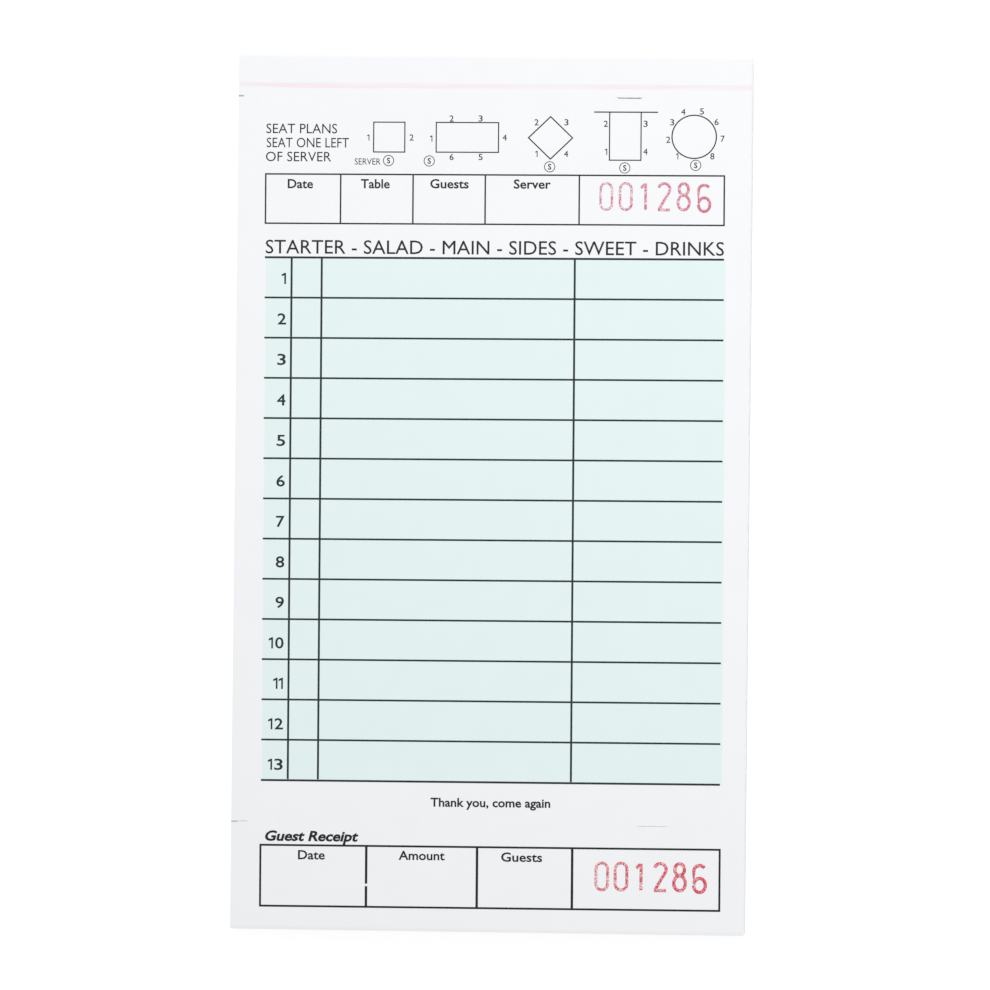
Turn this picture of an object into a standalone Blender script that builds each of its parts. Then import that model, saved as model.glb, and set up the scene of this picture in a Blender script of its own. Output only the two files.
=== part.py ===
"""Guest check pad.

Fifty two-ply check sets lie on a chipboard back and are bound along their top edge by a film
of padding compound. Every check has two perforations: one under the bound stub, where it is
torn off, and one above the guest receipt at its foot. The front set is modelled ply by ply,
and each later set is one leaf whose two plies meet in a strip at the perforation.

The pad lies flat, +Z up, with its bound edge at +Y and its origin under the middle of its box.
Each leaf hinges where it bends, on the line of its perforation at the pad's upper face, so that
a lifted leaf always turns clear of the leaves under it.
"""

import math

import bmesh
import bpy

MM = 0.001

# The trimmed pad.
PAD_WIDTH = 107.95 * MM
PAD_LENGTH = 184.15 * MM
SET_COUNT = 50

# Stock.
PLY_THICKNESS = 0.07 * MM
PLY_GAP = 0.02 * MM
BOARD_THICKNESS = 0.70 * MM

# Perforations. The stub runs from the bound edge to the first one, and the receipt from the
# second one to the free edge. Between two cuts a tie is left, which holds the sheet.
STUB_LENGTH = 8.5 * MM
RECEIPT_LENGTH = 22.7 * MM
CUT_WIDTH = 0.02 * MM
TIE_PITCH = 2.1 * MM
TIE_WIDTH = 0.5 * MM
TIE_SEAT = 0.01 * MM
TIE_SWING = 0.2

# Binding along the top edge: a film with a crowned outer face, and the glue between the
# stubs, which reaches this far down from the bound edge.
FILM_CROWN = 0.30 * MM
FILM_EDGE = 0.12 * MM
FILM_SEAT = 0.02 * MM
FILM_STEPS = 10
GLUE_DEPTH = 1.0 * MM

# The line of glue that holds the two plies of a set together, inside the stub.
SET_GLUE_INSET = 6.5 * MM
SET_GLUE_WIDTH = 1.2 * MM
SET_GLUE_CLEARANCE = 0.004 * MM

# On a later set the two plies are one piece along this strip under the perforation.
LEAF_JOIN = 1.5 * MM

# Heights of the stack, from the underside up.
PLY_PITCH = PLY_THICKNESS + PLY_GAP
SET_PITCH = 2 * PLY_PITCH
LEAF_THICKNESS = PLY_PITCH + PLY_THICKNESS
STACK_BOTTOM = BOARD_THICKNESS + PLY_GAP
PAD_TOP = STACK_BOTTOM + SET_COUNT * SET_PITCH - PLY_GAP

# Places along the pad.
FREE_EDGE = -PAD_LENGTH / 2
BOUND_EDGE = PAD_LENGTH / 2 - FILM_CROWN - FILM_SEAT
STUB_FOLD = BOUND_EDGE - STUB_LENGTH
RECEIPT_FOLD = FREE_EDGE + RECEIPT_LENGTH

# A tie reaches past its fold by less than what would let its corner swing into the ply below.
TIE_REACH = TIE_SWING * math.sqrt(PLY_PITCH ** 2 - PLY_THICKNESS ** 2)
HELD_EDGE = TIE_REACH + TIE_SEAT


def set_top(number):
    """Height of the upper face of a check set, counted from 1 at the front."""
    return PAD_TOP - (number - 1) * SET_PITCH


def material(name, colour, roughness):
    """A Principled material for one kind of stock."""
    made = bpy.data.materials.new(name)
    made.use_nodes = True
    shader = made.node_tree.nodes["Principled BSDF"]
    shader.inputs["Base Color"].default_value = (*colour, 1.0)
    shader.inputs["Roughness"].default_value = roughness
    shader.inputs["Metallic"].default_value = 0.0
    return made


def add_object(name, mesh, stock, origin, parent):
    """Place a mesh whose points are relative to its origin, and hang it on its parent."""
    mesh.materials.append(stock)
    made = bpy.data.objects.new(name, mesh)
    bpy.context.collection.objects.link(made)
    parent_origin = parent["origin_m"] if parent else (0.0, 0.0, 0.0)
    made["origin_m"] = origin
    made.parent = parent
    made.location = [here - there for here, there in zip(origin, parent_origin)]
    return made


def extruded(name, outline, axis, low, high, origin):
    """A closed mesh: an outline of (u, v) points extruded along X or Z.

    Along X the outline lies in (y, z), and along Z in (x, y), both counter-clockwise as seen
    from the axis' positive end.
    """
    if axis == "X":
        rim = [(low, u, v) for u, v in outline]
        travel = (high - low, 0.0, 0.0)
    else:
        rim = [(u, v, low) for u, v in outline]
        travel = (0.0, 0.0, high - low)
    shape = bmesh.new()
    points = [shape.verts.new([a - b for a, b in zip(point, origin)]) for point in rim]
    base = shape.faces.new(points)
    extrusion = bmesh.ops.extrude_face_region(shape, geom=[base])["geom"]
    lifted = [item for item in extrusion if isinstance(item, bmesh.types.BMVert)]
    bmesh.ops.translate(shape, verts=lifted, vec=travel)
    bmesh.ops.recalc_face_normals(shape, faces=shape.faces)
    mesh = bpy.data.meshes.new(name)
    shape.to_mesh(mesh)
    shape.free()
    return mesh


def tie_places():
    """Middle of each tie across the sheet, set out evenly from the middle of the pad."""
    count = int((PAD_WIDTH / 2 - TIE_WIDTH) / TIE_PITCH)
    return [index * TIE_PITCH for index in range(-count, count + 1)]


def perforated_edge(fold):
    """The torn-off side of a perforation, from +X to -X: cuts with a tie between each two."""
    cut = fold - CUT_WIDTH
    tip = fold + TIE_REACH
    edge = [(PAD_WIDTH / 2, cut)]
    for place in reversed(tie_places()):
        right = place + TIE_WIDTH / 2
        left = place - TIE_WIDTH / 2
        edge += [(right, cut), (right, tip), (left, tip), (left, cut)]
    edge.append((-PAD_WIDTH / 2, cut))
    return edge


def sheet(name, low_edge, fold, ply_top, stock, parent):
    """One ply of a check or a receipt: a sheet whose upper edge is a perforation at the fold."""
    outline = [(-PAD_WIDTH / 2, low_edge), (PAD_WIDTH / 2, low_edge)]
    outline += perforated_edge(fold)
    origin = (0.0, fold, PAD_TOP)
    mesh = extruded(name, outline, "Z", ply_top - PLY_THICKNESS, ply_top, origin)
    return add_object(name, mesh, stock, origin, parent)


def box_outline(low_u, high_u, low_v, high_v):
    """Four corners, counter-clockwise."""
    return [(low_u, low_v), (high_u, low_v), (high_u, high_v), (low_u, high_v)]


def make_backing_board(parent):
    """Grey chipboard, trimmed with the sheets and bound with them at the top edge."""
    stock = material("chipboard", (0.30, 0.27, 0.23), 0.95)
    outline = box_outline(FREE_EDGE, BOUND_EDGE, 0.0, BOARD_THICKNESS)
    side = PAD_WIDTH / 2
    mesh = extruded("backing_board", outline, "X", -side, side, (0.0, 0.0, 0.0))
    return add_object("backing_board", mesh, stock, (0.0, 0.0, 0.0), parent)


def make_padding_compound(parent):
    """The flexible film over the bound edge: flat inside, crowned outside as it was brushed on."""
    stock = material("padding_compound", (0.86, 0.86, 0.84), 0.55)
    inner = BOUND_EDGE + FILM_SEAT
    outline = [(inner, PAD_TOP), (inner, 0.0)]
    for step in range(FILM_STEPS + 1):
        share = step / FILM_STEPS
        swell = (FILM_CROWN - FILM_EDGE) * math.sin(math.pi * share)
        outline.append((inner + FILM_EDGE + swell, PAD_TOP * share))
    side = PAD_WIDTH / 2
    mesh = extruded("padding_compound", outline, "X", -side, side, (0.0, 0.0, 0.0))
    return add_object("padding_compound", mesh, stock, (0.0, 0.0, 0.0), parent)


def make_bound_stub_block(stock, parent):
    """The stubs of every later set, one tooth each, which the glue joins at the bound edge."""
    front = STUB_FOLD + HELD_EDGE
    glued = BOUND_EDGE - GLUE_DEPTH
    outline = [(BOUND_EDGE, set_top(2))]
    for number in range(2, SET_COUNT + 1):
        top = set_top(number)
        bottom = top - LEAF_THICKNESS
        if number > 2:
            outline.append((glued, top))
        outline += [(front, top), (front, bottom)]
        if number < SET_COUNT:
            outline.append((glued, bottom))
    outline.append((BOUND_EDGE, set_top(SET_COUNT) - LEAF_THICKNESS))
    side = PAD_WIDTH / 2
    mesh = extruded("bound_stub_block", outline, "X", -side, side, (0.0, 0.0, 0.0))
    return add_object("bound_stub_block", mesh, stock, (0.0, 0.0, 0.0), parent)


def make_front_stub(name, ply_top, stock, parent):
    """The stub of one ply of the front set."""
    front = STUB_FOLD + HELD_EDGE
    outline = box_outline(front, BOUND_EDGE, ply_top - PLY_THICKNESS, ply_top)
    side = PAD_WIDTH / 2
    mesh = extruded(name, outline, "X", -side, side, (0.0, 0.0, 0.0))
    return add_object(name, mesh, stock, (0.0, 0.0, 0.0), parent)


def make_set_glue_line(parent):
    """The pink line of glue between the two stubs of the front set."""
    stock = material("set_glue", (0.90, 0.42, 0.52), 0.45)
    middle = BOUND_EDGE - SET_GLUE_INSET
    low = PAD_TOP - PLY_PITCH + SET_GLUE_CLEARANCE
    high = PAD_TOP - PLY_THICKNESS - SET_GLUE_CLEARANCE
    half = SET_GLUE_WIDTH / 2
    outline = box_outline(middle - half, middle + half, low, high)
    side = PAD_WIDTH / 2
    mesh = extruded("set_glue_line", outline, "X", -side, side, (0.0, 0.0, 0.0))
    return add_object("set_glue_line", mesh, stock, (0.0, 0.0, 0.0), parent)


def make_check_set(number, stock, parent):
    """A later set below its stub: two plies, apart all the way down from the joined strip."""
    name = f"check_set_{number:02d}"
    top = set_top(number)
    joined = STUB_FOLD - LEAF_JOIN
    outline = [
        (FREE_EDGE, top - LEAF_THICKNESS),
        (STUB_FOLD, top - LEAF_THICKNESS),
        (STUB_FOLD, top),
        (FREE_EDGE, top),
        (FREE_EDGE, top - PLY_THICKNESS),
        (joined, top - PLY_THICKNESS),
        (joined, top - PLY_PITCH),
        (FREE_EDGE, top - PLY_PITCH),
    ]
    origin = (0.0, STUB_FOLD, PAD_TOP)
    side = PAD_WIDTH / 2
    mesh = extruded(name, outline, "X", -side, side, origin)
    return add_object(name, mesh, stock, origin, parent)


def clear_scene():
    """Start from nothing."""
    for old in list(bpy.data.objects):
        bpy.data.objects.remove(old, do_unlink=True)


def build():
    """Put the pad together from its back to its front set."""
    clear_scene()
    top_paper = material("top_copy_paper", (0.94, 0.94, 0.96), 0.85)
    second_paper = material("second_copy_paper", (0.92, 0.92, 0.92), 0.85)
    set_paper = material("check_set_paper", (0.93, 0.93, 0.94), 0.85)
    stub_paper = material("stub_paper", (0.93, 0.93, 0.95), 0.85)

    pad = bpy.data.objects.new("pad", None)
    bpy.context.collection.objects.link(pad)
    pad["origin_m"] = (0.0, 0.0, 0.0)

    make_backing_board(pad)
    make_padding_compound(pad)
    make_bound_stub_block(set_paper, pad)
    make_set_glue_line(pad)
    make_front_stub("second_stub", PAD_TOP - PLY_PITCH, stub_paper, pad)
    make_front_stub("top_stub", PAD_TOP, stub_paper, pad)

    leaves = [make_check_set(number, set_paper, pad) for number in range(2, SET_COUNT + 1)]

    # The front set lies on set 2. Each check ends a tie's reach and seat above its receipt.
    check_foot = RECEIPT_FOLD + HELD_EDGE
    second_top = PAD_TOP - PLY_PITCH
    second = sheet("second_check", check_foot, STUB_FOLD, second_top, second_paper, leaves[0])
    top = sheet("top_check", check_foot, STUB_FOLD, PAD_TOP, top_paper, second)
    sheet("second_receipt", FREE_EDGE, RECEIPT_FOLD, second_top, second_paper, second)
    sheet("top_receipt", FREE_EDGE, RECEIPT_FOLD, PAD_TOP, top_paper, top)


build()
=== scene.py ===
"""Looks of the guest check pad, section by section as the pad is put together.

The pad lies face up with its bound edge at +Y. Sizes are millimetres times MM, in the frame of
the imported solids, and the printing is set out from the middle of the pad.
"""

import math
import random

import bpy
from mathutils import Matrix, Vector


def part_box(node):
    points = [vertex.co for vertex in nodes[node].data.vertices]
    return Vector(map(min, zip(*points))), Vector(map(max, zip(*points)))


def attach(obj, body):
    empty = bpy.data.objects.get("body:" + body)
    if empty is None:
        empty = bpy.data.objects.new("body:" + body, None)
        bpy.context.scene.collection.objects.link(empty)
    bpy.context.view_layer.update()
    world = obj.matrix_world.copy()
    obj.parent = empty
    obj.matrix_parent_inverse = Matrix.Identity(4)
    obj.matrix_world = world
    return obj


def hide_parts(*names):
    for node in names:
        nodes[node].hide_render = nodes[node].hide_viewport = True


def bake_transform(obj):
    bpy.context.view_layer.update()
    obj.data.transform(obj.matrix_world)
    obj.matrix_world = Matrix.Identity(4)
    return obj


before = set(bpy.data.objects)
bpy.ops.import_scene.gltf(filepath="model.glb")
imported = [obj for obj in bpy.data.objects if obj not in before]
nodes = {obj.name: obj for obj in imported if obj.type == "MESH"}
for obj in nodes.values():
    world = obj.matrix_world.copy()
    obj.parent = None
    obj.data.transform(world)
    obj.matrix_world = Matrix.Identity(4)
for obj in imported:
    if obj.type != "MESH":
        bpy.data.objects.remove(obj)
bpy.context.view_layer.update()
bpy.ops.object.select_all(action="DESELECT")
MM = 0.001


# Chipboard back. A stiff grey-brown board pressed from recycled pulp, 0.7 mm thick, trimmed in
# one cut with the sheets and bound with them along the top edge. Bits of old print and of pale
# fibre show in it, and its face is dull and slightly rough.


def linear(colour):
    """An sRGB hex colour as linear RGBA."""
    shares = [int(colour[place : place + 2], 16) / 255 for place in (1, 3, 5)]
    return [s / 12.92 if s <= 0.04045 else ((s + 0.055) / 1.055) ** 2.4 for s in shares] + [1.0]


def add_node(tree, kind, inputs, **settings):
    """Add a shader node, set its properties, and give its open inputs values or links.

    An input is named, or counted among those that are open, and a node given as a value is
    linked by its first open output.
    """
    node = tree.nodes.new(kind)
    for name, value in settings.items():
        setattr(node, name, value)
    sockets = [socket for socket in node.inputs if socket.enabled]
    for key, value in inputs.items():
        socket = sockets[key] if isinstance(key, int) else node.inputs[key]
        if isinstance(value, bpy.types.Node):
            value = next(output for output in value.outputs if output.enabled)
        if isinstance(value, bpy.types.NodeSocket):
            tree.links.new(value, socket)
        else:
            socket.default_value = value
    return node


def new_finish(name, roughness, specular=0.5):
    """A material, its node tree and its shader, whose even values are on its own sockets."""
    finish = bpy.data.materials.new(name)
    finish.use_nodes = True
    shader = finish.node_tree.nodes["Principled BSDF"]
    shader.inputs["Roughness"].default_value = roughness
    shader.inputs["Specular IOR Level"].default_value = specular
    return finish, finish.node_tree, shader


def dress(piece, finish):
    """Give a piece its finish, and no other."""
    piece.data.materials.clear()
    piece.data.materials.append(finish)


def place_in_mm(tree, vector=None):
    """Object coordinates in millimetres, so that every pattern's scale is one over its size."""
    if vector is None:
        vector = add_node(tree, "ShaderNodeTexCoord", {}).outputs["Object"]
    return add_node(tree, "ShaderNodeVectorMath", {0: vector, "Scale": 1 / MM}, operation="SCALE")


# The fibres are drawn coarser than they are, so that the board's tooth shows.
BOARD_CLOUD_MM = 7.0
BOARD_FLECK_MM = 0.55
BOARD_FIBRE_MM = 0.30

greyboard, tree, shader = new_finish("greyboard_pressed_recycled_pulp", 0.95, 0.2)
place = place_in_mm(tree)
cloud = add_node(
    tree, "ShaderNodeTexNoise", {"Vector": place, "Scale": 1 / BOARD_CLOUD_MM, "Detail": 3.0}
)
pulp = add_node(
    tree,
    "ShaderNodeMix",
    {0: cloud, 1: linear("#8C8376"), 2: linear("#A79D8F")},
    data_type="RGBA",
)
fleck = add_node(
    tree, "ShaderNodeTexNoise", {"Vector": place, "Scale": 1 / BOARD_FLECK_MM, "Detail": 2.0}
)
printed_bits = add_node(
    tree,
    "ShaderNodeMapRange",
    {"Value": fleck, "From Min": 0.63, "From Max": 0.70, "To Max": 0.6},
)
pulp = add_node(
    tree, "ShaderNodeMix", {0: printed_bits, 1: pulp, 2: linear("#5F5850")}, data_type="RGBA"
)
pale_bits = add_node(
    tree,
    "ShaderNodeMapRange",
    {"Value": fleck, "From Min": 0.37, "From Max": 0.31, "To Max": 0.5},
)
pulp = add_node(
    tree, "ShaderNodeMix", {0: pale_bits, 1: pulp, 2: linear("#C2BAAC")}, data_type="RGBA"
)
tree.links.new(pulp.outputs[2], shader.inputs["Base Color"])
fibre = add_node(
    tree, "ShaderNodeTexNoise", {"Vector": place, "Scale": 1 / BOARD_FIBRE_MM, "Detail": 4.0}
)
tooth = add_node(
    tree, "ShaderNodeBump", {"Strength": 0.5, "Distance": 0.05 * MM, "Height": fibre}
)
tree.links.new(tooth.outputs[0], shader.inputs["Normal"])
dress(nodes["backing_board"], greyboard)


# Padding compound. White PVA glue, brushed over the bound edge in two coats while the stack is
# clamped, which dries to a rubbery film with a soft sheen. Brush streaks run along the edge, and
# the edges of the sets show through it as faint lines.

FILM_STREAK_MM = 0.5
FILM_RUN_MM = 9.0
SET_PITCH_MM = 0.18
SETS_SHOW_THROUGH = 0.12

padding_film, tree, shader = new_finish("padding_compound_brushed_pva", 0.42)
place = place_in_mm(tree)
along_brush = add_node(
    tree,
    "ShaderNodeMapping",
    {"Vector": place, "Scale": (1 / FILM_RUN_MM, 1 / FILM_STREAK_MM, 1 / FILM_STREAK_MM)},
)
streak = add_node(
    tree, "ShaderNodeTexNoise", {"Vector": along_brush, "Scale": 1.0, "Detail": 4.0}
)
film_colour = add_node(
    tree,
    "ShaderNodeMix",
    {0: streak, 1: linear("#EEEEEC"), 2: linear("#F8F8F6")},
    data_type="RGBA",
)
tree.links.new(film_colour.outputs[2], shader.inputs["Base Color"])
gloss = add_node(tree, "ShaderNodeMapRange", {"Value": streak, "To Min": 0.34, "To Max": 0.56})
tree.links.new(gloss.outputs[0], shader.inputs["Roughness"])
height = add_node(tree, "ShaderNodeSeparateXYZ", {0: place}).outputs["Z"]
sheet_wave = add_node(
    tree, "ShaderNodeMath", {0: height, 1: 2 * math.pi / SET_PITCH_MM}, operation="MULTIPLY"
)
sheet_wave = add_node(tree, "ShaderNodeMath", {0: sheet_wave}, operation="SINE")
relief = add_node(
    tree,
    "ShaderNodeMath",
    {0: sheet_wave, 1: SETS_SHOW_THROUGH, 2: streak},
    operation="MULTIPLY_ADD",
)
tooth = add_node(
    tree, "ShaderNodeBump", {"Strength": 0.5, "Distance": 0.05 * MM, "Height": relief}
)
tree.links.new(tooth.outputs[0], shader.inputs["Normal"])
dress(nodes["padding_compound"], padding_film)


# Stubs of the later sets. White carbonless bond of 0.07 mm, guillotined: the faces are smooth and
# dull, and the cut edges show a fine grey line for each sheet, painted shade between the sheets.
# The order table's mint tint is printed on every sheet, so the finish of the paper carries it.

# The printing lies a little to the right and low on the sheet, a touch askew as the sheet was
# fed, and came off its plate a hair small.
PRINT_SKEW = math.radians(0.16)
PRINT_ASIDE_MM = (0.36, -0.36, 0.0)
PLATE_SCALE = 0.9982
TINT_LEFT, TINT_RIGHT = -48.19, 48.72
TABLE_TOP = 49.78
ROW_PITCH = 25.4 / 3
ROW_COUNT = 13
LAST_RULE_LOWER = 0.07
TABLE_BOTTOM = TABLE_TOP - ROW_COUNT * ROW_PITCH - LAST_RULE_LOWER
# Paper pulp clouds in patches of some millimetres. Its fibres are drawn coarser than they are, so
# that they show. A narrow rim at the sides and a wider one at the foot are painted darker, as
# painted shade at the sheet's edges.
FORMATION_MM = 6.0
FIBRE_MM = 0.35
SIDE_RIM_MM, SIDE_RIM_SHARE = 0.35, 0.3
FOOT_RIM_MM = 0.8
RIM_SHADE_SHARE = 0.2
# A line for each sheet's cut edge, which changes shade every 8 mm or so along the pad.
EDGE_LINES_PER_MM = (0.12, 0.12, 1 / 0.09)
HALF_WIDTH_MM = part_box("top_check")[1].x / MM
FREE_EDGE_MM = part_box("top_receipt")[0].y / MM


def between(tree, value, low, high):
    """One where a value lies between two limits."""
    middle, half = (low + high) / 2, (high - low) / 2
    return add_node(tree, "ShaderNodeMath", {0: value, 1: middle, 2: half}, operation="COMPARE")


def make_paper(name, face, clouded, cut, tint=None, flat_place=None):
    """Carbonless bond: clouded face, cut edge, and the tint of the order table where it has one.

    A sheet that bends keeps its places on the flat sheet in an attribute, and its pattern
    follows that.
    """
    finish, tree, shader = new_finish(name, 0.88, 0.25)
    vector = None
    if flat_place:
        vector = add_node(tree, "ShaderNodeAttribute", {}, attribute_name=flat_place)
        vector = vector.outputs["Vector"]
    place = place_in_mm(tree, vector)
    axes = add_node(tree, "ShaderNodeSeparateXYZ", {0: place})
    facing = add_node(tree, "ShaderNodeTexCoord", {}).outputs["Normal"]
    facing = add_node(tree, "ShaderNodeSeparateXYZ", {0: facing}).outputs["Z"]

    formation = add_node(
        tree, "ShaderNodeTexNoise", {"Vector": place, "Scale": 1 / FORMATION_MM, "Detail": 3.0}
    )
    colour = add_node(
        tree,
        "ShaderNodeMix",
        {0: formation, 1: linear(clouded), 2: linear(face)},
        data_type="RGBA",
    )
    if tint:
        turned = add_node(
            tree,
            "ShaderNodeMapping",
            {
                "Vector": place,
                "Location": PRINT_ASIDE_MM,
                "Rotation": (0, 0, PRINT_SKEW),
                "Scale": (PLATE_SCALE, PLATE_SCALE, 1),
            },
            vector_type="TEXTURE",
        )
        printed = add_node(tree, "ShaderNodeSeparateXYZ", {0: turned})
        across = between(tree, printed.outputs["X"], TINT_LEFT, TINT_RIGHT)
        along = between(tree, printed.outputs["Y"], TABLE_BOTTOM, TABLE_TOP)
        area = add_node(tree, "ShaderNodeMath", {0: across, 1: along}, operation="MULTIPLY")
        upward = add_node(tree, "ShaderNodeMath", {0: facing, 1: 0.5}, operation="GREATER_THAN")
        area = add_node(tree, "ShaderNodeMath", {0: area, 1: upward}, operation="MULTIPLY")
        wash = add_node(
            tree,
            "ShaderNodeMix",
            {0: area, 1: linear("#FFFFFF"), 2: linear(tint)},
            data_type="RGBA",
        )
        colour = add_node(
            tree,
            "ShaderNodeMix",
            {0: 1.0, 1: colour, 2: wash},
            data_type="RGBA",
            blend_type="MULTIPLY",
        )

    # Painted shade: a narrow rim at the sides and a wider one at the foot are painted darker.
    side = add_node(tree, "ShaderNodeMath", {0: axes.outputs["X"]}, operation="ABSOLUTE")
    side = add_node(
        tree,
        "ShaderNodeMapRange",
        {
            "Value": side,
            "From Min": HALF_WIDTH_MM - SIDE_RIM_MM,
            "From Max": HALF_WIDTH_MM,
            "To Max": SIDE_RIM_SHARE,
        },
    )
    foot = add_node(
        tree,
        "ShaderNodeMapRange",
        {
            "Value": axes.outputs["Y"],
            "From Min": FREE_EDGE_MM + FOOT_RIM_MM,
            "From Max": FREE_EDGE_MM,
        },
    )
    foot = add_node(tree, "ShaderNodeMath", {0: foot, 1: 0.5}, operation="POWER")
    rim = add_node(tree, "ShaderNodeMath", {0: side, 1: foot}, operation="MAXIMUM")
    rim = add_node(tree, "ShaderNodeMath", {0: rim, 1: RIM_SHADE_SHARE}, operation="MULTIPLY")
    colour = add_node(
        tree, "ShaderNodeMix", {0: rim, 1: colour, 2: linear(RIM_SHADE_GREY)}, data_type="RGBA"
    )

    plies = add_node(tree, "ShaderNodeMapping", {"Vector": place, "Scale": EDGE_LINES_PER_MM})
    plies = add_node(tree, "ShaderNodeTexNoise", {"Vector": plies, "Scale": 1.0, "Detail": 1.0})
    edge_colour = add_node(
        tree, "ShaderNodeMix", {0: plies, 1: linear(cut), 2: linear(face)}, data_type="RGBA"
    )
    facing = add_node(tree, "ShaderNodeMath", {0: facing}, operation="ABSOLUTE")
    trimmed = add_node(tree, "ShaderNodeMath", {0: facing, 1: 0.5}, operation="LESS_THAN")
    colour = add_node(
        tree, "ShaderNodeMix", {0: trimmed, 1: colour, 2: edge_colour}, data_type="RGBA"
    )
    tree.links.new(colour.outputs[2], shader.inputs["Base Color"])

    fibre = add_node(
        tree, "ShaderNodeTexNoise", {"Vector": place, "Scale": 1 / FIBRE_MM, "Detail": 3.0}
    )
    tooth = add_node(
        tree, "ShaderNodeBump", {"Strength": 0.25, "Distance": 0.01 * MM, "Height": fibre}
    )
    tree.links.new(tooth.outputs[0], shader.inputs["Normal"])
    return finish


PAPER_WHITE = "#FAFBFE"
PAPER_CLOUD = "#F7F8FA"
CUT_EDGE = "#FEFEFE"
# Painted shade: the grey of the bound stubs' cut edges, in a line for each sheet.
BOUND_EDGE_SHADE = "#DDDDDF"
# The grey of the painted shade at the rim of the sheets.
RIM_SHADE_GREY = "#DADBDD"
TABLE_TINT = "#EFFDFA"

stub_paper = make_paper("carbonless_bond_stubs", PAPER_WHITE, PAPER_CLOUD, BOUND_EDGE_SHADE)
dress(nodes["bound_stub_block"], stub_paper)
dress(nodes["second_stub"], stub_paper)


# Sets 50 to 3. Each is two loose plies below the stub, torn off together along the perforation. A
# lifted set stays held at its stub and bends up from there, a deep one over a longer stretch than
# one near the front; each is cut across at stations near the stub for that bend.

FLAT_PLACE = "flat_place"
BEND_STATIONS_MM = (0.25, 0.5, 1.0, 1.5, 2.0, 3.0, 4.0, 5.0, 6.5, 8.0, 10.0, 12.0, 14.0, 16.5)
# Jogging the stack square before it is bound leaves its edges this much apart.
JOGGED_MM = 0.03
FIRST_LEAF, LAST_LEAF = 3, 50

set_paper = make_paper(
    "carbonless_bond_sets", PAPER_WHITE, PAPER_CLOUD, CUT_EDGE, TABLE_TINT, FLAT_PLACE
)
set_low, set_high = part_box(f"check_set_{FIRST_LEAF:02d}")
ply_thickness = (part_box("top_check")[1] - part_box("top_check")[0]).z
ply_pitch = (set_high.z - set_low.z) - ply_thickness
fold_y = set_high.y
pad_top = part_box("top_check")[1].z

bpy.ops.mesh.primitive_cube_add(size=1)
set_pattern = bpy.context.object
set_pattern.scale = (set_high.x - set_low.x, set_high.y - set_low.y, ply_thickness)
set_pattern.location = (0, (set_low.y + set_high.y) / 2, set_high.z - ply_thickness / 2)
bpy.ops.object.transform_apply(location=True, rotation=True, scale=True)
bpy.ops.object.mode_set(mode="EDIT")
for station in BEND_STATIONS_MM:
    bpy.ops.mesh.select_all(action="SELECT")
    bpy.ops.mesh.bisect(plane_co=(0, fold_y - station * MM, 0), plane_no=(0, 1, 0))
bpy.ops.mesh.select_all(action="SELECT")
bpy.ops.mesh.duplicate()
bpy.ops.transform.translate(value=(0, 0, -ply_pitch))
bpy.ops.object.mode_set(mode="OBJECT")

jogging = random.Random(50)
for number in range(FIRST_LEAF, LAST_LEAF + 1):
    node = f"check_set_{number:02d}"
    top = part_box(node)[1].z
    leaf = set_pattern.copy()
    leaf.data = set_pattern.data.copy()
    leaf.name = f"loose_set_{number:02d}"
    bpy.context.collection.objects.link(leaf)
    narrowed = 1 - jogging.random() * JOGGED_MM * MM / set_high.x
    shortened = 1 - jogging.random() * JOGGED_MM * MM / (set_high.y - set_low.y)
    leaf.data.transform(Matrix.Translation((0, -fold_y, top - set_high.z)))
    leaf.data.transform(Matrix.Diagonal((narrowed, shortened, 1, 1)))
    leaf.data.transform(Matrix.Translation((0, fold_y, 0)))
    leaf.data.materials.append(set_paper)
    flat = leaf.data.attributes.new(FLAT_PLACE, "FLOAT_VECTOR", "POINT")
    for point, kept in zip(leaf.data.vertices, flat.data):
        kept.vector = point.co
    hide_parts(node)
    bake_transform(leaf)
bpy.data.objects.remove(set_pattern)


# Set 2, and the second copy of the front set. They lie under the front copy and show when it is
# lifted: the same white bond, which takes the writing by pressure instead of a carbon sheet.

loose_paper = make_paper(
    "carbonless_bond_sheets", PAPER_WHITE, PAPER_CLOUD, CUT_EDGE, TABLE_TINT
)
for node in ("check_set_02", "second_check", "second_receipt"):
    dress(nodes[node], loose_paper)


# Set glue. A thin line of pink-dyed glue holds the two plies of a set together inside the stub,
# so that a torn-off set comes apart into its two copies. It was rolled on, so it has paler and
# fuller blots.

BLOT_MM = 2.5

set_glue, tree, shader = new_finish("set_glue_dyed_pva", 0.45)
place = place_in_mm(tree)
blot = add_node(
    tree, "ShaderNodeTexNoise", {"Vector": place, "Scale": 1 / BLOT_MM, "Detail": 2.0}
)
glue_colour = add_node(
    tree,
    "ShaderNodeMix",
    {0: blot, 1: linear("#E9A0B4"), 2: linear("#F3C3CF")},
    data_type="RGBA",
)
tree.links.new(glue_colour.outputs[2], shader.inputs["Base Color"])
dress(nodes["set_glue_line"], set_glue)


# Front copy. The sheet that is written on, parted by its two perforations. The pink glue under its
# stub shows through it as a pale band, uneven where the glue ran thick and thin, and the padding
# compound has crept over its bound edge as a hair of white, whiter towards the bound edge.

GLUE_BAND_HALF_MM = 0.52
GLUE_BAND_SOFT_MM = 0.2
GLUE_BAND_RAISED_MM = 0.20
GLUE_WANDER_MM = 0.15
GLUE_RUN_MM, GLUE_ACROSS_MM = 14.0, 0.9
GLUE_THINNEST = 0.35
CREEP_MM = 0.004
CREEP_OVER_SHEET_MM = 0.4
CREEP_OVER_FILM_MM = 0.1


def lay_block(left, right, low, high, top, thick):
    """A flat block between two places across the sheet and two along it, in metres."""
    bpy.ops.mesh.primitive_cube_add(size=1)
    block = bpy.context.object
    block.scale = (right - left, high - low, thick)
    block.location = ((left + right) / 2, (low + high) / 2, top - thick / 2)
    return block


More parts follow.
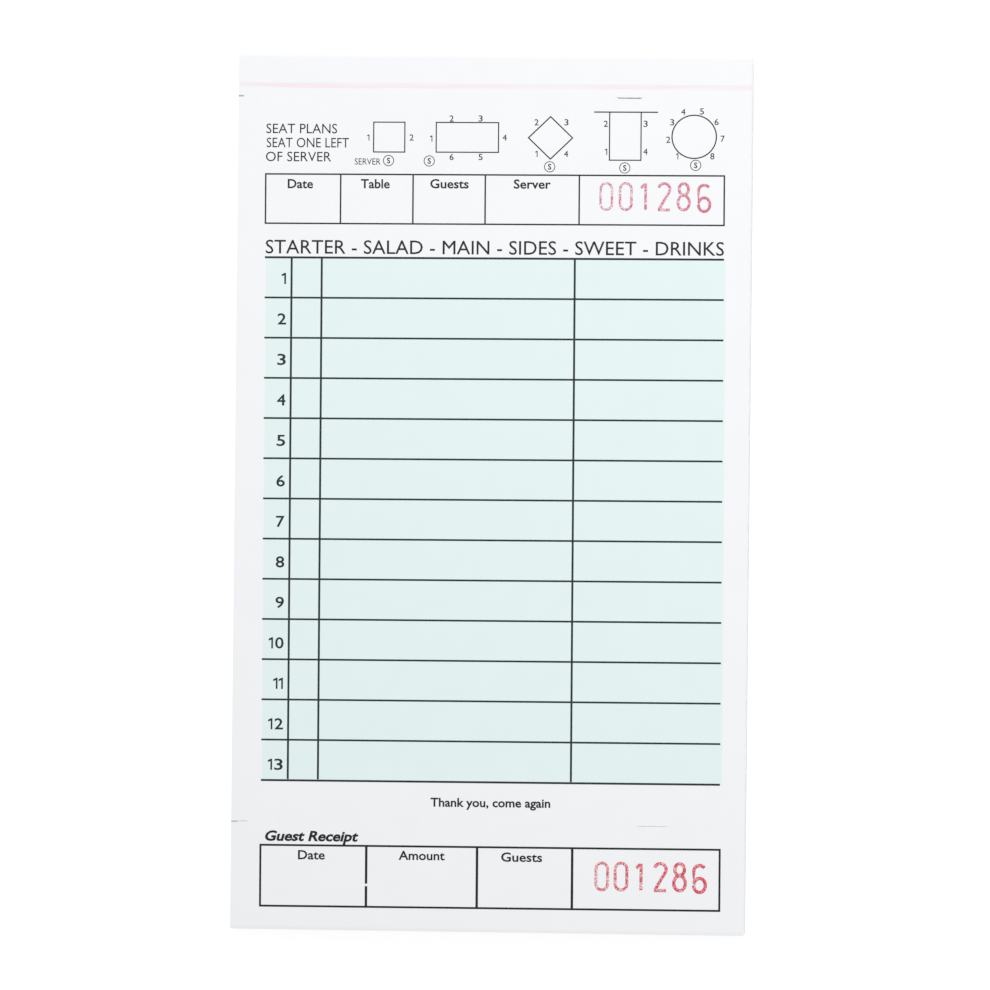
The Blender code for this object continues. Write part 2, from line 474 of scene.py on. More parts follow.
def gather(parts, name):
    """One object of several, with their places still to be applied."""
    bpy.ops.object.select_all(action="DESELECT")
    for part in parts:
        part.select_set(True)
    bpy.context.view_layer.objects.active = parts[0]
    if len(parts) > 1:
        bpy.ops.object.join()
    gathered = bpy.context.object
    gathered.name = name
    return gathered


def join_blocks(blocks, name, finish):
    """One object of blocks, at the origin, in one finish."""
    joined = gather(blocks, name)
    bpy.ops.object.transform_apply(location=True, rotation=True, scale=True)
    dress(joined, finish)
    return joined


front_paper = make_paper(
    "carbonless_bond_front_copy", PAPER_WHITE, PAPER_CLOUD, CUT_EDGE, TABLE_TINT
)
for node in ("top_check", "top_receipt"):
    dress(nodes[node], front_paper)

glue_low, glue_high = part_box("set_glue_line")
glue_middle = (glue_low.y + glue_high.y) / 2 / MM
stub_face = make_paper("carbonless_bond_front_stub", PAPER_WHITE, PAPER_CLOUD, CUT_EDGE)
tree = stub_face.node_tree
shader = tree.nodes["Principled BSDF"]
place = place_in_mm(tree)
axes = add_node(tree, "ShaderNodeSeparateXYZ", {0: place})
run = add_node(
    tree,
    "ShaderNodeMapping",
    {"Vector": place, "Scale": (1 / GLUE_RUN_MM, 1 / GLUE_ACROSS_MM, 1)},
)
run = add_node(tree, "ShaderNodeTexNoise", {"Vector": run, "Scale": 1.0, "Detail": 2.0})
wander = add_node(
    tree,
    "ShaderNodeMapRange",
    {"Value": run, "To Min": -GLUE_WANDER_MM, "To Max": GLUE_WANDER_MM},
)
away = add_node(
    tree,
    "ShaderNodeMath",
    {0: axes.outputs["Y"], 1: -glue_middle - GLUE_BAND_RAISED_MM},
    operation="ADD",
)
away = add_node(tree, "ShaderNodeMath", {0: away, 1: wander}, operation="ADD")
away = add_node(tree, "ShaderNodeMath", {0: away}, operation="ABSOLUTE")
band = add_node(
    tree,
    "ShaderNodeMapRange",
    {
        "Value": away,
        "From Min": GLUE_BAND_HALF_MM + GLUE_BAND_SOFT_MM,
        "From Max": GLUE_BAND_HALF_MM - GLUE_BAND_SOFT_MM,
    },
    interpolation_type="SMOOTHSTEP",
)
thick = add_node(
    tree,
    "ShaderNodeMapRange",
    {"Value": run, "From Min": 0.3, "From Max": 0.7, "To Min": GLUE_THINNEST},
)
band = add_node(tree, "ShaderNodeMath", {0: band, 1: thick}, operation="MULTIPLY")
under = shader.inputs["Base Color"].links[0].from_socket
pinked = add_node(
    tree, "ShaderNodeMix", {0: band, 1: under, 2: linear("#F8EAF2")}, data_type="RGBA"
)
tree.links.new(pinked.outputs[2], shader.inputs["Base Color"])
dress(nodes["top_stub"], stub_face)

bound_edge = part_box("top_stub")[1].y
creep_white, tree, shader = new_finish("padding_compound_crept", 0.6, 0.3)
height = add_node(tree, "ShaderNodeSeparateXYZ", {0: place_in_mm(tree)}).outputs["Y"]
spent = add_node(
    tree,
    "ShaderNodeMapRange",
    {
        "Value": height,
        "From Min": bound_edge / MM - CREEP_OVER_SHEET_MM * 0.5,
        "From Max": bound_edge / MM - CREEP_OVER_SHEET_MM,
    },
)
creep_colour = add_node(
    tree,
    "ShaderNodeMix",
    {0: spent, 1: linear("#FDFDFD"), 2: linear("#FAFBFD")},
    data_type="RGBA",
)
tree.links.new(creep_colour.outputs[2], shader.inputs["Base Color"])
creep = lay_block(
    -HALF_WIDTH_MM * MM,
    HALF_WIDTH_MM * MM,
    bound_edge - CREEP_OVER_SHEET_MM * MM,
    bound_edge + CREEP_OVER_FILM_MM * MM,
    pad_top + CREEP_MM * MM,
    CREEP_MM * MM,
)
creep = join_blocks([creep], "stub_glue_creep", creep_white)
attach(creep, "bound_pad")


# Perforation cuts. A rotary blade nicks the sheet every 2.1 mm and leaves a tie of 0.5 mm. The
# burr it throws up closes most of the cuts until the sheet is bent, so they hardly show. Where a
# few stand open, a thin grey strip on the torn-off side is their painted shadow.

TIE_PITCH_MM, TIE_WIDTH_MM = 2.1, 0.5
CUT_LENGTH_MM = TIE_PITCH_MM - TIE_WIDTH_MM
CUT_LOW_MM, CUT_HIGH_MM = -0.02, 0.0213
BURR_MM = 0.02
CUT_SHADOW_MM, CUT_SHADOW_PROUD_MM, CUT_SHADOW_BACK_MM = 0.008, 0.001, 0.01
SHADOW_MOTTLE_MM = 1.2
# Each stretch of open cuts: from where to where across the sheet, and the width of its painted
# shadow.
STUB_CUTS_OPEN = ((-53.975, -52.95, 0.26), (26.0, 30.9, 0.22))
RECEIPT_CUTS_OPEN = ((-53.975, -52.6, 0.21), (-52.6, -50.6, 0.06), (31.7, 37.7, 0.035))


def close_cuts(fold, surface, stands_open):
    """The burr in each cut along a fold, but for the cuts that stand open."""
    reach = int(HALF_WIDTH_MM / TIE_PITCH_MM)
    burrs = []
    for index in range(-reach - 1, reach + 1):
        start = index * TIE_PITCH_MM + TIE_WIDTH_MM / 2
        left = max(start, -HALF_WIDTH_MM)
        right = min(start + CUT_LENGTH_MM, HALF_WIDTH_MM)
        if any(low < (left + right) / 2 < high for low, high, _ in stands_open):
            continue
        burrs.append(
            lay_block(
                left * MM,
                right * MM,
                fold + CUT_LOW_MM * MM,
                fold + CUT_HIGH_MM * MM,
                surface,
                BURR_MM * MM,
            )
        )
    return burrs


def lift_lips(fold, surface, stands_open):
    """The painted shadow of each stretch of cuts that stands open: a grey strip on the torn-off
    side.

    It is bedded in the sheet, so that it stays clear of the stub when the sheet folds back.
    """
    edge = fold + (CUT_LOW_MM - CUT_SHADOW_BACK_MM) * MM
    top = surface + CUT_SHADOW_PROUD_MM * MM
    return [
        lay_block(low * MM, high * MM, edge - wide * MM, edge, top, CUT_SHADOW_MM * MM)
        for low, high, wide in stands_open
    ]


# Painted shadow: the grey, mottled colour of the strip in each open cut.
cut_shadow_finish, tree, shader = new_finish("paper_cut_painted_shadow", 0.9, 0.2)
place = place_in_mm(tree)
shadow_mottle = add_node(
    tree, "ShaderNodeTexNoise", {"Vector": place, "Scale": 1 / SHADOW_MOTTLE_MM, "Detail": 2.0}
)
shadow_mottle = add_node(tree, "ShaderNodeMapRange", {"Value": shadow_mottle, "From Min": 0.35, "From Max": 0.65})
cut_shadow_colour = add_node(
    tree,
    "ShaderNodeMix",
    {0: shadow_mottle, 1: linear("#86989A"), 2: linear("#BCC6C6")},
    data_type="RGBA",
)
tree.links.new(cut_shadow_colour.outputs[2], shader.inputs["Base Color"])

stub_fold = fold_y
receipt_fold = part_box("top_check")[0].y - CUT_HIGH_MM * MM
for sheet, node, check_body, receipt_body in (
    ("top_copy", "top_check", "front_top_copy", "top_copy_receipt"),
    ("second_copy", "second_check", "front_second_copy", "second_copy_receipt"),
):
    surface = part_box(node)[1].z
    burrs = close_cuts(stub_fold, surface, STUB_CUTS_OPEN)
    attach(join_blocks(burrs, f"{sheet}_stub_cuts", loose_paper), "bound_pad")
    burrs = close_cuts(receipt_fold, surface, RECEIPT_CUTS_OPEN)
    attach(join_blocks(burrs, f"{sheet}_receipt_cuts", loose_paper), check_body)
    # Only the front copy has the painted shadow of its open cuts.
    if sheet == "top_copy":
        cut_shadows = lift_lips(stub_fold, surface, STUB_CUTS_OPEN)
        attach(join_blocks(cut_shadows, f"{sheet}_stub_cut_shadows", cut_shadow_finish), check_body)
        cut_shadows = lift_lips(receipt_fold, surface, RECEIPT_CUTS_OPEN)
        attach(join_blocks(cut_shadows, f"{sheet}_receipt_cut_shadows", cut_shadow_finish), receipt_body)


# Offset printing. Every sheet is printed alike in dark ink: seat plans, field labels, the table
# of thirteen order lines and the receipt's fields. Ink is a film far thinner than the paper,
# drawn here as 0.008 mm so that it stands clear of the sheet.

INK_MM = 0.008
PLAN_LINE, ROUND_LINE, HEAD_LINE = 0.24, 0.26, 0.32
TABLE_LINE, TABLE_BORDER, RECEIPT_LINE, RECEIPT_DIVIDER = 0.39, 0.43, 0.42, 0.52
CURVE_STEPS = 3
FONT_CAP_HEIGHT = 0.682
FONT_EXTRUDE = 0.01
WELD_MM = 0.0002


def lay_rule(start, end, line):
    """A straight rule from one point to another, as wide as its line."""
    run = Vector(end) - Vector(start)
    bpy.ops.mesh.primitive_cube_add(size=1)
    rule = bpy.context.object
    rule.scale = (run.length * MM, line * MM, INK_MM * MM)
    rule.rotation_euler.z = math.atan2(run.y, run.x)
    middle = [(a + b) / 2 * MM for a, b in zip(start, end)]
    rule.location = (*middle, INK_MM / 2 * MM)
    return rule


def lay_frame(left, right, top, bottom, line, dividers=()):
    """A ruled box, its uprights butted between the two long rules, with any dividers."""
    half = line / 2
    rules = [lay_rule((left - half, y), (right + half, y), line) for y in (top, bottom)]
    for x in (left, right):
        rules.append(lay_rule((x, bottom + half), (x, top - half), line))
    for x, width in dividers:
        rules.append(lay_rule((x, bottom + half), (x, top - half), width))
    return rules


def lay_ring(middle, radii, line, corners=48):
    """A thin closed outline round a middle: a disc, inset by its line and opened."""
    bpy.ops.mesh.primitive_circle_add(vertices=corners, radius=1, fill_type="NGON")
    ring = bpy.context.object
    ring.scale = (radii[0] * MM, radii[1] * MM, 1)
    ring.location = (middle[0] * MM, middle[1] * MM, 0)
    bpy.ops.object.transform_apply(location=True, rotation=True, scale=True)
    bpy.ops.object.mode_set(mode="EDIT")
    bpy.ops.mesh.select_all(action="SELECT")
    bpy.ops.mesh.inset(thickness=line * MM)
    bpy.ops.mesh.delete(type="FACE")
    bpy.ops.object.mode_set(mode="OBJECT")
    film = ring.modifiers.new("film", "SOLIDIFY")
    film.thickness = INK_MM * MM
    film.offset = 1
    bpy.ops.object.modifier_apply(modifier=film.name)
    return ring


def set_words(words, base, height, left=None, width=None, middle=None, weight=0.0, slant=0.0):
    """Words in type, standing on a base line, fitted to a width or centred on a middle."""
    bpy.ops.object.text_add()
    text = bpy.context.object
    text.data.body = words
    text.data.resolution_u = CURVE_STEPS
    text.data.extrude = FONT_EXTRUDE
    text.data.bevel_depth = weight
    text.data.bevel_resolution = 0
    text.data.shear = slant
    bpy.ops.object.convert(target="MESH")
    text = bpy.context.object
    across = [point.co.x for point in text.data.vertices]
    low, high = min(across), max(across)
    tall = height * MM / (FONT_CAP_HEIGHT + 2 * weight)
    wide = width * MM / (high - low) if width else tall
    start = left * MM - low * wide if middle is None else middle * MM - (low + high) / 2 * wide
    text.scale = (wide, tall, INK_MM * MM / 2 / (FONT_EXTRUDE + weight))
    text.location = (start, base * MM + weight * tall, INK_MM / 2 * MM)
    return text


def make_solid(curve, name):
    """A drawn curve as an object with a mesh."""
    drawn = bpy.data.objects.new(name, curve)
    bpy.context.collection.objects.link(drawn)
    bpy.ops.object.select_all(action="DESELECT")
    drawn.select_set(True)
    bpy.context.view_layer.objects.active = drawn
    bpy.ops.object.convert(target="MESH")
    return bpy.context.object


def set_figure(figure, base, height, middle, width, weight):
    """One figure, centred on a middle. The type's one is a bare bar, so it is cut out here."""
    if figure != "1":
        return set_words(figure, base, height, left=middle - width / 2, width=width, weight=weight)
    stem = (0.13 + 1.6 * weight) * height
    flag = stem * 1.1
    right = middle + stem * 0.85
    corners = (
        (right - stem, 0),
        (right, 0),
        (right, height),
        (right - stem * 0.85, height),
        (right - stem - height * 0.24, height * 0.86),
        (right - stem - height * 0.24, height * 0.86 - flag * 0.95),
        (right - stem, height * 0.92 - flag * 0.8),
    )
    outline = bpy.data.curves.new("figure_one", "CURVE")
    outline.dimensions = "2D"
    outline.fill_mode = "BOTH"
    outline.extrude = INK_MM / 2 * MM
    spline = outline.splines.new("POLY")
    spline.points.add(len(corners) - 1)
    spline.use_cyclic_u = True
    for point, (x, y) in zip(spline.points, corners):
        point.co = (x * MM, (base + y) * MM, 0, 1)
    figure_one = make_solid(outline, "figure_one")
    figure_one.location.z = INK_MM / 2 * MM
    return figure_one


def press(parts, name, finish):
    """Join what one ink prints, and set it on the sheet a little askew, as it was fed."""
    film = gather(parts, name)
    bpy.ops.object.transform_apply(location=True, rotation=True, scale=True)
    bpy.ops.object.mode_set(mode="EDIT")
    bpy.ops.mesh.select_all(action="SELECT")
    bpy.ops.mesh.remove_doubles(threshold=WELD_MM * MM)
    bpy.ops.object.mode_set(mode="OBJECT")
    film.scale = (PLATE_SCALE, PLATE_SCALE, 1)
    film.rotation_euler.z = PRINT_SKEW
    film.location = [aside * MM for aside in PRINT_ASIDE_MM]
    bpy.ops.object.transform_apply(location=True, rotation=True, scale=True)
    dress(film, finish)
    return film


def make_ink(name, solid, thin, grain_mm, roughness):
    """Offset ink: nearly even, a little thinner where the paper's fibres stand up.

    That grain is drawn coarser than it is, so that it shows.
    """
    finish, tree, shader = new_finish(name, roughness, 0.35)
    place = place_in_mm(tree)
    grain = add_node(
        tree, "ShaderNodeTexNoise", {"Vector": place, "Scale": 1 / grain_mm, "Detail": 2.0}
    )
    worn = add_node(
        tree, "ShaderNodeMapRange", {"Value": grain, "From Min": 0.5, "From Max": 0.75}
    )
    colour = add_node(
        tree, "ShaderNodeMix", {0: worn, 1: linear(solid), 2: linear(thin)}, data_type="RGBA"
    )
    tree.links.new(colour.outputs[2], shader.inputs["Base Color"])
    return finish


text_ink = make_ink("offset_ink_black", "#121214", "#3C3C3F", 0.30, 0.6)
ruling_ink = make_ink("offset_ink_dark_green", "#142220", "#34433F", 0.35, 0.6)
receipt_ink = make_ink("offset_ink_receipt", "#0D0E0F", "#2B2D2F", 0.35, 0.6)

# Seat plans: a table of each shape the room has, its seats numbered round it, and a ringed
# letter for the server. A table has its left, right, top and bottom here, or middle and radii.
TWO_SEAT_TABLE = (-25.59, -19.01, 78.34, 72.06)
SIX_SEAT_TABLE = (-12.38, 0.75, 78.33, 72.08)
TURNED_TABLE, TURNED_RADII = (11.70, 75.18), (4.83, 4.63)
ROUND_TABLE, ROUND_RADII = (41.90, 75.52), (4.79, 4.66)
COUNTER_LEFT, COUNTER_RIGHT, COUNTER_TOP, COUNTER_FOOT = 24.12, 30.74, 80.64, 70.55
WALL_LEFT, WALL_RIGHT = 20.84, 34.27
labels = [
    set_words("SEAT PLANS", 75.93, 2.0, left=-48.29, width=14.98),
    set_words("SEAT ONE LEFT", 72.97, 2.0, left=-48.19, width=17.39),
    set_words("OF SERVER", 70.02, 2.0, left=-48.35, width=13.82),
    set_words("SERVER", 69.39, 1.31, left=-29.56, width=5.48),
]
labels += lay_frame(*TWO_SEAT_TABLE, PLAN_LINE)
labels += lay_frame(*SIX_SEAT_TABLE, PLAN_LINE)
labels.append(lay_ring(TURNED_TABLE, TURNED_RADII, ROUND_LINE, corners=4))
labels.append(lay_rule((WALL_LEFT, COUNTER_TOP), (WALL_RIGHT, COUNTER_TOP), ROUND_LINE))
for x in (COUNTER_LEFT, COUNTER_RIGHT):
    labels.append(
        lay_rule((x, COUNTER_FOOT + PLAN_LINE / 2), (x, COUNTER_TOP - ROUND_LINE / 2), PLAN_LINE)
    )
labels.append(
    lay_rule(
        (COUNTER_LEFT - PLAN_LINE / 2, COUNTER_FOOT),
        (COUNTER_RIGHT + PLAN_LINE / 2, COUNTER_FOOT),
        PLAN_LINE,
    )
)
labels.append(lay_ring(ROUND_TABLE, ROUND_RADII, ROUND_LINE))

SEAT_TALL, SEAT_WIDE, SEAT_WEIGHT = 1.30, 0.88, 0.008
SEATS = (
    ((-26.64, 75.09), (-17.58, 75.14)),
    (
        (-13.35, 74.94),
        (-9.17, 79.16),
        (-3.06, 79.19),
        (2.05, 75.21),
        (-3.00, 71.10),
        (-9.11, 71.07),
    ),
    ((8.85, 71.79), (8.74, 78.44), (15.03, 78.46), (15.00, 71.82)),
    ((23.49, 72.30), (23.32, 78.18), (31.68, 78.22), (31.68, 72.37)),
    (
        (38.45, 71.42),
        (36.46, 74.88),
        (37.25, 78.55),
        (39.58, 80.75),
        (43.49, 80.86),
        (46.57, 78.66),
        (47.88, 75.15),
        (45.74, 71.46),
    ),
)
for plan in SEATS:
    for seat, (x, y) in enumerate(plan, start=1):
        foot = y - SEAT_TALL / 2
        labels.append(set_figure(str(seat), foot, SEAT_TALL, x, SEAT_WIDE, SEAT_WEIGHT))
SERVER_MARKS = ((-22.41, 70.26), (-13.82, 70.22), (11.56, 69.10), (27.37, 68.93), (42.26, 69.54))
MARK_TALL, MARK_WEIGHT = 1.2, 0.022
MARK_RADIUS, MARK_LINE = 1.17, 0.16
for x, y in SERVER_MARKS:
    labels.append(set_words("S", y - MARK_TALL / 2, MARK_TALL, middle=x, weight=MARK_WEIGHT))
    labels.append(lay_ring((x, y), (MARK_RADIUS, MARK_RADIUS), MARK_LINE, corners=24))

# Check fields, course line and foot.
HEAD_FIELDS = (-48.34, 48.3, 67.34, 56.96)
HEAD_DIVIDERS = [(x, HEAD_LINE) for x in (-32.48, -17.19, -1.96, 17.84)]
LABEL_TALL, LABEL_WEIGHT = 1.95, 0.020
labels += lay_frame(*HEAD_FIELDS, HEAD_LINE, HEAD_DIVIDERS)
labels += [
    set_words("Date", 64.34, LABEL_TALL, left=-43.68, width=5.36, weight=LABEL_WEIGHT),
    set_words("Table", 64.40, LABEL_TALL, left=-28.22, width=6.10, weight=LABEL_WEIGHT),
    set_words("Guests", 64.46, LABEL_TALL, left=-13.58, width=8.12, weight=LABEL_WEIGHT),
    set_words("Server", 64.47, LABEL_TALL, left=4.03, width=7.81, weight=LABEL_WEIGHT),
    set_words(
        "STARTER - SALAD - MAIN - SIDES - SWEET - DRINKS",
        50.6,
        2.86,
        left=-48.25,
        width=96.6,
        weight=0.003,
    ),
    set_words("Thank you, come again", -65.6, 1.9, left=-12.53, width=25.25, weight=0.024),
]
check_labels = press(labels, "check_labels", text_ink)

# Order table: thirteen numbered lines, a column for the seat, one for the count, and prices.
UPRIGHTS = (-42.72, -36.35, 17.02)
UPRIGHT_LINE = 0.43
RULE_LEFT, RULE_RIGHT = -48.40, 48.35
FIGURE_WEIGHT = 0.014
FIGURE_RIGHT, FIGURE_BASE, FIGURE_PITCH, FIGURE_TALL = -43.80, 44.16, 8.53, 2.35
FIGURE_WIDTH, ONE_WIDTH, FIGURE_GAP = 1.82, 0.80, 0.34
ruling = []
for row in range(ROW_COUNT + 1):
    y = TABLE_BOTTOM if row == ROW_COUNT else TABLE_TOP - row * ROW_PITCH
    line = TABLE_BORDER if row in (0, ROW_COUNT) else TABLE_LINE
    ruling.append(lay_rule((RULE_LEFT, y), (RULE_RIGHT, y), line))
    if row < ROW_COUNT:
        for x in UPRIGHTS:
            upper, lower = y - TABLE_LINE / 2, y - ROW_PITCH + TABLE_LINE / 2
            ruling.append(lay_rule((x, lower), (x, upper), UPRIGHT_LINE))
        right = FIGURE_RIGHT
        for figure in reversed(str(row + 1)):
            width = ONE_WIDTH if figure == "1" else FIGURE_WIDTH
            base = FIGURE_BASE - row * FIGURE_PITCH
            ruling.append(
                set_figure(figure, base, FIGURE_TALL, right - width / 2, width, FIGURE_WEIGHT)
            )
            right -= width + FIGURE_GAP
check_ruling = press(ruling, "check_ruling", ruling_ink)

# Guest receipt: its heading and fields, with a gap in the first divider that took no ink.
RECEIPT_LEFT, RECEIPT_RIGHT = -48.39, 48.4
RECEIPT_TOP, RECEIPT_FOOT = -74.0, -86.82
BROKEN_DIVIDER, BREAK_HIGH, BREAK_LOW = -26.0, -81.95, -82.45
RECEIPT_DIVIDERS = [(x, RECEIPT_DIVIDER) for x in (-2.62, 17.42)]
receipt = lay_frame(
    RECEIPT_LEFT, RECEIPT_RIGHT, RECEIPT_TOP, RECEIPT_FOOT, RECEIPT_LINE, RECEIPT_DIVIDERS
)
receipt += [
    lay_rule(
        (BROKEN_DIVIDER, BREAK_HIGH),
        (BROKEN_DIVIDER, RECEIPT_TOP - RECEIPT_LINE / 2),
        RECEIPT_DIVIDER,
    ),
    lay_rule(
        (BROKEN_DIVIDER, RECEIPT_FOOT + RECEIPT_LINE / 2),
        (BROKEN_DIVIDER, BREAK_LOW),
        RECEIPT_DIVIDER,
    ),
    set_words("Guest Receipt", -73.15, 2.2, left=-47.42, width=19.76, weight=0.034, slant=0.22),
    set_words("Date", -76.98, LABEL_TALL, left=-40.43, width=5.68, weight=LABEL_WEIGHT),
    set_words("Amount", -76.87, LABEL_TALL, left=-19.17, width=9.73, weight=LABEL_WEIGHT),
    set_words("Guests", -77.0, LABEL_TALL, left=2.45, width=8.66, weight=LABEL_WEIGHT),
]
receipt_labels = press(receipt, "receipt_labels", receipt_ink)


# Numbering. The last pass of the press, by a hand-set numbering machine whose steel wheels hit
# the sheet through red ink: tall narrow figures with a speckled body, fuller towards the right,
# and the last wheel sits a little low. Both copies of a set have the same number.

HEAD_STROKE, RECEIPT_STROKE = 0.50, 0.60
WHEEL_FULLER = 0.04
WHEEL_WIDE, WHEEL_TALL = 2.4, 5.55
STROKE_ROUNDNESS = 2
SPECK_MM, BITE_MM, PATCH_MM = 0.24, 0.42, 1.6
PATCH_SHARE = 0.35
FULLER_FROM_MM, FULLER_TO_MM, FULLER_BY = 20.0, 46.0, 0.16
HEAD_FIGURES = (22.34, 26.42, 30.5, 34.5, 38.6, 42.9)
HEAD_BASE = 60.16
RECEIPT_FIGURES = (22.45, 26.5, 30.6, 34.75, 38.8, 43.0)
RECEIPT_BASE = -82.68
HEAD_FIGURE_SIZE, RECEIPT_FIGURE_SIZE = 1.0, 1.02
LAST_WHEEL_DROP = 0.32


def arc(middle, radii, start, end, steps=10):
    """Points along part of an oval, its angles in degrees."""
    angles = [math.radians(start + (end - start) * step / steps) for step in range(steps + 1)]
    return [
        (middle[0] + radii[0] * math.cos(a), middle[1] + radii[1] * math.sin(a)) for a in angles
    ]


def figure_strokes(figure):
    """The strokes of one figure in a box one wheel wide, each a list of points."""
    wide, tall = WHEEL_WIDE, WHEEL_TALL
    half = wide / 2
    if figure == "0":
        upper = arc((half, tall - half), (half, half), 0, 180)
        return [upper + arc((half, half), (half, half), 180, 360) + upper[:1]]
    if figure == "1":
        stem = [(half + 0.1, tall), (half + 0.1, 0)]
        flag = [(half - 0.9, tall - 1.0), (half, tall - 0.1)]
        return [stem, flag]
    if figure == "2":
        bowl = arc((half, tall - half), (half, half), 165, -35)
        return [bowl + [(0.1, 0.1)], [(-0.1, 0), (wide, 0)]]
    if figure == "6":
        loop = arc((half, half + 0.25), (half, half + 0.25), 180, -180, 20)
        return [arc((half, tall - half), (half, half), 35, 180) + loop]
    if figure == "7":
        return [[(0, tall), (wide, tall)], [(wide - 0.1, tall - 0.1), (half - 0.4, 0)]]
    upper = arc((half, tall - half), (half - 0.2, half), -90, 270, 20)
    lower = arc((half, half + 0.32), (half, half + 0.32), 90, 450, 20)
    return [upper, lower]


def strike(number, places, base, size, line):
    """Each figure as strokes of ink, on its own wheel, a little wider from wheel to wheel."""
    struck = []
    for index, (figure, left) in enumerate(zip(number, places)):
        foot = base - (LAST_WHEEL_DROP if index == len(number) - 1 else 0)
        wide = line * (1 + WHEEL_FULLER * index)
        for points in figure_strokes(figure):
            curve = bpy.data.curves.new("stroke", "CURVE")
            curve.dimensions = "3D"
            curve.bevel_depth = wide / 2 * MM
            curve.bevel_resolution = STROKE_ROUNDNESS
            curve.use_fill_caps = True
            spline = curve.splines.new("POLY")
            spline.points.add(len(points) - 1)
            for point, (x, y) in zip(spline.points, points):
                point.co = ((left + x * size) * MM, (foot + y * size) * MM, 0, 1)
            struck.append(make_solid(curve, "stroke"))
    return struck


def ink_number(number, places, base, size, line, finish, name):
    """A number's strokes, pressed flat to the thickness of the ink."""
    film = gather(strike(number, places, base, size, line), name)
    film.scale = (PLATE_SCALE, PLATE_SCALE, INK_MM * MM / film.dimensions.z)
    film.location = [aside * MM for aside in PRINT_ASIDE_MM]
    film.location.z = INK_MM / 2 * MM
    film.rotation_euler.z = PRINT_SKEW
    bpy.ops.object.transform_apply(location=True, rotation=True, scale=True)
    dress(film, finish)
    return film


def make_number_ink(name, full, pale, bruised, bared):
    """Numbering ink: bare and bruised specks where the wheels bit, and fuller to the right."""
    finish, tree, shader = new_finish(name, 0.55, 0.4)
    place = place_in_mm(tree)
    speck = add_node(
        tree, "ShaderNodeTexNoise", {"Vector": place, "Scale": 1 / SPECK_MM, "Detail": 3.0}
    )
    patch = add_node(
        tree, "ShaderNodeTexNoise", {"Vector": place, "Scale": 1 / PATCH_MM, "Detail": 1.0}
    )
    across = add_node(tree, "ShaderNodeSeparateXYZ", {0: place}).outputs["X"]
    fuller = add_node(
        tree,
        "ShaderNodeMapRange",
        {
            "Value": across,
            "From Min": FULLER_FROM_MM,
            "From Max": FULLER_TO_MM,
            "To Min": bared,
            "To Max": bared - FULLER_BY,
        },
    )
    speck = add_node(tree, "ShaderNodeMath", {0: speck, 1: fuller}, operation="ADD")
    patch = add_node(
        tree, "ShaderNodeMath", {0: patch, 1: PATCH_SHARE, 2: speck}, operation="MULTIPLY_ADD"
    )
    bare = add_node(
        tree, "ShaderNodeMapRange", {"Value": patch, "From Min": 0.60, "From Max": 0.78}
    )
    red = add_node(
        tree, "ShaderNodeMix", {0: bare, 1: linear(full), 2: linear(pale)}, data_type="RGBA"
    )
    bite = add_node(
        tree, "ShaderNodeTexNoise", {"Vector": place, "Scale": 1 / BITE_MM, "Detail": 1.0}
    )
    bite = add_node(
        tree,
        "ShaderNodeMapRange",
        {"Value": bite, "From Min": 0.56, "From Max": 0.68, "To Max": 0.8},
    )
    red = add_node(
        tree, "ShaderNodeMix", {0: bite, 1: red, 2: linear(bruised)}, data_type="RGBA"
    )
    tree.links.new(red.outputs[2], shader.inputs["Base Color"])
    return finish


head_number_ink = make_number_ink(
    "numbering_ink_red_light", "#DC728A", "#F8E6EA", "#A46A80", 0.05
)
receipt_number_ink = make_number_ink(
    "numbering_ink_red_full", "#E34256", "#F8DCE0", "#9E3A54", 0.07
)


def lay_on(film, name, body, surface):
    """A copy of a printed film on a sheet's upper face, riding with the sheet."""
    printed = film.copy()
    printed.data = film.data.copy()
    printed.name = name
    bpy.context.collection.objects.link(printed)
    printed.data.transform(Matrix.Translation((0, 0, surface)))
    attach(printed, body)


number_pairs = {}
for number in ("001286", "001287"):
    number_pairs[number] = (
        ink_number(
            number,
            HEAD_FIGURES,
            HEAD_BASE,
            HEAD_FIGURE_SIZE,
            HEAD_STROKE,
            head_number_ink,
            f"head_{number}",
        ),
        ink_number(
            number,
            RECEIPT_FIGURES,
            RECEIPT_BASE,
            RECEIPT_FIGURE_SIZE,
            RECEIPT_STROKE,
            receipt_number_ink,
            f"receipt_{number}",
        ),
    )
# Ink on the three sheets whose whole face comes to view. The deeper ones show only the tint.
sheets = (
    ("top_copy", "top_check", "front_top_copy", "top_copy_receipt", "001286"),
    ("second_copy", "second_check", "front_second_copy", "second_copy_receipt", "001286"),
    ("set_02", "check_set_02", "set_02", "set_02", "001287"),
)
for sheet, node, check_body, receipt_body, number in sheets:
    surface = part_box(node)[1].z
    head_number, receipt_number = number_pairs[number]
    lay_on(check_labels, f"{sheet}_labels", check_body, surface)
    lay_on(check_ruling, f"{sheet}_ruling", check_body, surface)
    lay_on(head_number, f"{sheet}_number", check_body, surface)
    lay_on(receipt_labels, f"{sheet}_receipt_labels", receipt_body, surface)
    lay_on(receipt_number, f"{sheet}_receipt_number", receipt_body, surface)
for film in (check_labels, check_ruling, receipt_labels):
    bpy.data.objects.remove(film)
for pair in number_pairs.values():
    for film in pair:
        bpy.data.objects.remove(film)


# Table top, light and camera. A plain white sheet, a hair below the board, under soft daylight
# from beyond the bound edge and from a low white card at the right. The camera is high above,
# turned as the pad lies a little askew, and leans to the right, from where that side just shows.

